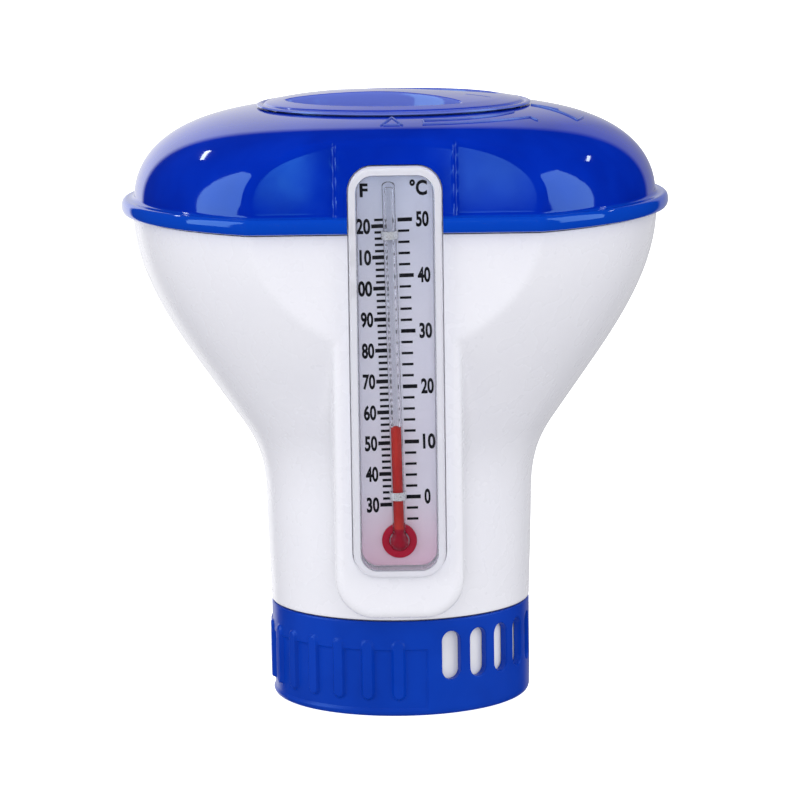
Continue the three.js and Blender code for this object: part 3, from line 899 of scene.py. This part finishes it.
def metal(name):
    made, nodes, links, shader = material(name)
    shader.inputs["Metallic"].default_value = 0.4
    grain = noise(nodes, links, 2500, 5, 0.7)
    tone = ramp(nodes, links, grain, [(0.3, (0.78, 0.78, 0.8)), (0.7, (0.92, 0.92, 0.93))])
    links.new(tone, shader.inputs["Base Color"])
    links.new(spread(nodes, links, grain, 0.22, 0.38), shader.inputs["Roughness"])
    links.new(bump(nodes, links, grain, 0.00002), shader.inputs["Normal"])
    return made


BLUE_SHEEN = (0.6, 0.85, 1.0)
SMOOTH = 0.0000003
# Below 172.2 mm, on the bead, the blue is painted lighter: painted light standing in for light shining
# through the thin bead.
DOME_BLUE = plastic("dome_blue_gloss", (0.0003, 0.018, 0.35), (0.0005, 0.023, 0.41), (0.04, 0.07),
                    tint=BLUE_SHEEN, low=(172.2, (0.002, 0.05, 0.46)))
# The lid's upright faces, the finger wells' walls among them, are painted a lighter periwinkle: painted
# light.
LID_BLUE = plastic("lid_blue_gloss", (0.0004, 0.02, 0.36), (0.0006, 0.025, 0.42), (0.06, 0.1),
                   tint=BLUE_SHEEN, painted_light_upright=(0.13, 0.18, 0.58))
# The marks are the dome's own blue plastic; their lighter blue is a painted highlight along the raised lines.
MARK_PAINTED_HIGHLIGHT = plastic("mark_blue_painted_highlight", (0.08, 0.12, 0.46), (0.1, 0.15, 0.5), (0.2, 0.3), tint=BLUE_SHEEN)
RING_BLUE = plastic("ring_blue_satin", (0.0003, 0.034, 0.37), (0.0004, 0.04, 0.42), (0.29, 0.305),
                    ripple=SMOOTH, tint=BLUE_SHEEN, shine=0.25)
SHELL_WHITE = plastic("shell_white_gloss", (0.80, 0.80, 0.86), (0.81, 0.81, 0.868), (0.27, 0.28),
                      ripple=SMOOTH)
TUBE_WHITE = plastic("tube_white_plain", (0.80, 0.80, 0.82), (0.86, 0.86, 0.87), (0.35, 0.5))
CASE_WHITE = plastic("case_white_plain", (0.9, 0.89, 0.92), (0.93, 0.92, 0.95), (0.4, 0.55))
GASKET_PALE = plastic("gasket_pale_silicone", (0.55, 0.56, 0.62), (0.6, 0.6, 0.66), (0.45, 0.6))
RUBBER = plastic("seal_rubber_black", (0.012, 0.012, 0.013), (0.03, 0.03, 0.03), (0.55, 0.75), ripple=0.00001)
SPIRIT_RED = plastic("spirit_red_dye", (0.6, 0.03, 0.025), (0.7, 0.045, 0.03), (0.2, 0.3),
                     low=(70.0, (0.45, 0.003, 0.025)), shine=0.1)
COLLAR_RED = plastic("collar_red_moulded", (0.42, 0.003, 0.03), (0.5, 0.006, 0.036), (0.25, 0.4), shine=0.25)
INK = plastic("scale_ink", (0.006, 0.006, 0.008), (0.015, 0.015, 0.018), (0.5, 0.7), shine=0.05)
# The lens's rim wall is mixed with a pale diffuse: painted light for the light seen through the wall.
LENS_CLEAR = clear("lens_clear_plastic", (0.99, 0.99, 1.0), 1.4, (0.005, 0.02), rim=0.6)
GLASS = clear("tube_clear_glass", (0.99, 0.99, 0.995), 1.45, (0.0, 0.02))
CARD = card_material()
CLIP_METAL = metal("clip_bright_metal")


# ---------------------------------------------------------------- assembly

def pocket_cutter():
    return loft("pocket", [lens_loop(0.4, -100), lens_loop(0.4, -68)])


def seal_ring(name, inner, outer, low, high, rounding=0.35):
    outline = []
    for (x, z, start) in ((outer - rounding, low + rounding, -90), (outer - rounding, high - rounding, 0),
                          (inner + rounding, high - rounding, 90), (inner + rounding, low + rounding, 180)):
        outline += [(x + rounding * math.cos(math.radians(start + 22.5 * k)),
                     z + rounding * math.sin(math.radians(start + 22.5 * k))) for k in range(5)]
    return turned(name, outline, 160, wrap=True)


place(cut(dome_shell(), pocket_cutter()), "housing", "dome_blue", DOME_BLUE, "dome_shell")
place(dome_marks(), "housing", "dome_blue", MARK_PAINTED_HIGHLIGHT)
place(dome_lugs(), "housing", "dome_blue", DOME_BLUE)
place(cut(lower_shell(), pocket_cutter()), "housing", "shell_white", SHELL_WHITE, "lower_shell")
place(tablet_tube(), "housing", "tube_white", TUBE_WHITE, "tablet_tube")
place(seal_ring("tube_upper_seal_ring", 41.5, 42.5, 188, 191),
      "housing", "seal_rubber", RUBBER, "tube_upper_seal")
place(seal_ring("tube_lower_seal_ring", 41.5, 42.5, 38.6, 41.6),
      "housing", "seal_rubber", RUBBER, "tube_lower_seal")
place(dosing_ring(), "dosing_cup", "ring_blue", RING_BLUE, "dosing_ring")
place(lid_cap(), "lid_cap", "lid_blue", LID_BLUE, "lid")
place(seal_ring("lid_seal_oring", 40.9, 42.5, 199.5, 201.1, 0.6),
      "lid_seal_ring", "seal_rubber", RUBBER, "lid_seal")
place(scale_card(), "housing", "card_print", CARD, "scale_card")
place(scale_print(), "housing", "card_print", INK)
place(glass_tube(), "housing", "tube_glass", GLASS, "glass_tube", sharp=60)
place(spirit_column(), "housing", "spirit_red", SPIRIT_RED, "spirit_column", sharp=60)
place(bulb_collar(), "housing", "collar_red", COLLAR_RED, "bulb_collar")
place(tube_clip("tube_clip_upper_strap", 166.2), "housing", "clip_silver", CLIP_METAL, "tube_clip_upper")
place(tube_clip("tube_clip_lower_strap", 81.0), "housing", "clip_silver", CLIP_METAL, "tube_clip_lower")
place(thermometer_lens(), "housing", "lens_clear", LENS_CLEAR, "thermometer_lens", sharp=60)

for node, finish in (("thermometer_case", CASE_WHITE), ("rim_gasket", GASKET_PALE)):
    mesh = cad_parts[node].data
    mesh.materials.clear()
    mesh.materials.append(finish)


# ---------------------------------------------------------------- floor, light and camera

def floor():
    side = 9.0
    steps = 24
    points = [(-side + 2 * side * i / steps, -side + 2 * side * j / steps, 0)
              for j in range(steps + 1) for i in range(steps + 1)]
    faces = [(j * (steps + 1) + i, j * (steps + 1) + i + 1,
              (j + 1) * (steps + 1) + i + 1, (j + 1) * (steps + 1) + i)
             for j in range(steps) for i in range(steps)]
    obj = new_object("floor", np.array(points) / MM, faces)
    white = plastic("floor_white", (0.9, 0.9, 0.9), (0.92, 0.92, 0.92), (0.8, 0.9))
    shader = white.node_tree.nodes["Principled BSDF"]
    shader.inputs["Emission Color"].default_value = (1, 1, 1, 1)
    shader.inputs["Emission Strength"].default_value = 1.0
    obj.data.materials.append(white)
    obj.visible_glossy = False
    obj.visible_diffuse = False
    obj.visible_transmission = False


def soft_light(name, place_, target, size, power, glossy=True, diffuse=True, colour=(1, 1, 1)):
    data = bpy.data.lights.new(name, "AREA")
    data.shape = "RECTANGLE"
    data.size, data.size_y = size
    data.energy = power
    data.color = colour
    obj = bpy.data.objects.new(name, data)
    bpy.context.scene.collection.objects.link(obj)
    obj.location = place_
    obj.rotation_mode = "QUATERNION"
    obj.rotation_quaternion = (Vector(target) - Vector(place_)).to_track_quat("-Z", "Y")
    obj.visible_glossy = glossy
    obj.visible_transmission = glossy
    obj.visible_camera = False
    obj.visible_diffuse = diffuse
    return obj


def surroundings():
    """White behind and overhead, dark on the camera's side."""
    world = bpy.data.worlds.new("studio")
    bpy.context.scene.world = world
    world.use_nodes = True
    nodes, links = world.node_tree.nodes, world.node_tree.links
    where = nodes.new("ShaderNodeTexCoord")
    split = nodes.new("ShaderNodeSeparateXYZ")
    links.new(where.outputs["Generated"], split.inputs["Vector"])
    background = nodes["Background"]
    level = spread(nodes, links, split.outputs["Y"], 0.0, 1.0, 0.81, 0.855)
    seen = ramp(nodes, links, level, [(0.0, (0.012, 0.014, 0.02)), (1.0, (1.0, 1.0, 1.0))])
    across = spread(nodes, links, split.outputs["X"], 2.4, 0.6, -0.5, 0.2)
    product = nodes.new("ShaderNodeVectorMath")
    product.operation = "MULTIPLY"
    links.new(seen, product.inputs[0])
    links.new(across, product.inputs[1])
    path = nodes.new("ShaderNodeLightPath")
    mix = nodes.new("ShaderNodeMix")
    mix.data_type = "RGBA"
    links.new(path.outputs["Is Transmission Ray"], mix.inputs["Factor"])
    links.new(product.outputs["Vector"], mix.inputs["A"])
    mix.inputs["B"].default_value = (0.22, 0.23, 0.3, 1)
    room = nodes.new("ShaderNodeMix")
    room.data_type = "RGBA"
    bounced = nodes.new("ShaderNodeMath")
    bounced.operation = "GREATER_THAN"
    links.new(path.outputs["Diffuse Depth"], bounced.inputs[0])
    bounced.inputs[1].default_value = 0.5
    links.new(bounced.outputs["Value"], room.inputs["Factor"])
    links.new(mix.outputs["Result"], room.inputs["A"])
    room.inputs["B"].default_value = (1.06, 1.06, 1.07, 1)
    links.new(room.outputs["Result"], background.inputs["Color"])
    background.inputs["Strength"].default_value = 0.7


def camera():
    data = bpy.data.cameras.new("camera")
    data.sensor_width = 36
    data.lens = 186.73
    data.clip_end = 50
    obj = bpy.data.objects.new("camera", data)
    bpy.context.scene.collection.objects.link(obj)
    pitch, roll = 0.1567, 0.0140
    turn = Matrix.Rotation(math.pi / 2 - pitch, 4, "X") @ Matrix.Rotation(-roll, 4, "Z")
    obj.matrix_world = Matrix.Translation((0.00079, -1.4, 0.3219)) @ turn
    bpy.context.scene.camera = obj


floor()
surroundings()
soft_light("top", (0, 0.1, 1.5), (0, 0, 0.15), (1.4, 1.0), 4, glossy=False)
soft_light("fill_front", (0.05, -1.9, 0.55), (0, 0, 0.12), (0.7, 0.5), 6.5, glossy=False)
soft_light("fill_left", (-1.4, -0.8, 0.4), (0, 0, 0.1), (1.0, 0.8), 6.5, glossy=False)
soft_light("fill_right", (1.4, -0.8, 0.4), (0, 0, 0.1), (1.0, 0.8), 4.5, glossy=False)
soft_light("left_window", (-1.19, -0.17, 0.68), (0, 0, 0.19), (0.58, 1.25), 9,
           diffuse=False, colour=(0.5, 0.78, 1))
soft_light("right_window", (1.19, -0.17, 0.62), (0, 0, 0.19), (0.58, 1.1), 7,
           diffuse=False, colour=(0.5, 0.78, 1))
soft_light("streak_left", (-0.83, 0.9, 1.09), (-0.06, 0, 0.19), (0.26, 0.04), 0.36, diffuse=False)
soft_light("streak_right", (1.01, 0.73, 1.07), (0.06, 0, 0.18), (0.18, 0.035), 0.2, diffuse=False)
soft_light("flat_left", (-0.085, -1.67, 1.05), (-0.04, 0, 0.18), (0.037, 0.055), 0.02,
           diffuse=False, colour=(0.2, 0.7, 1))
soft_light("flat_right", (0.076, -1.67, 1.09), (0.03, 0, 0.18), (0.058, 0.13), 0.07,
           diffuse=False, colour=(0.3, 0.65, 1))
sky = bpy.data.lights.new("sky", "SUN")
sky.energy = 0.5
sky.angle = math.radians(120)
sky_light = bpy.data.objects.new("sky", sky)
sky_light.visible_glossy = False
sky_light.visible_transmission = False
bpy.context.scene.collection.objects.link(sky_light)
camera()
bpy.context.scene.view_settings.view_transform = "Standard"
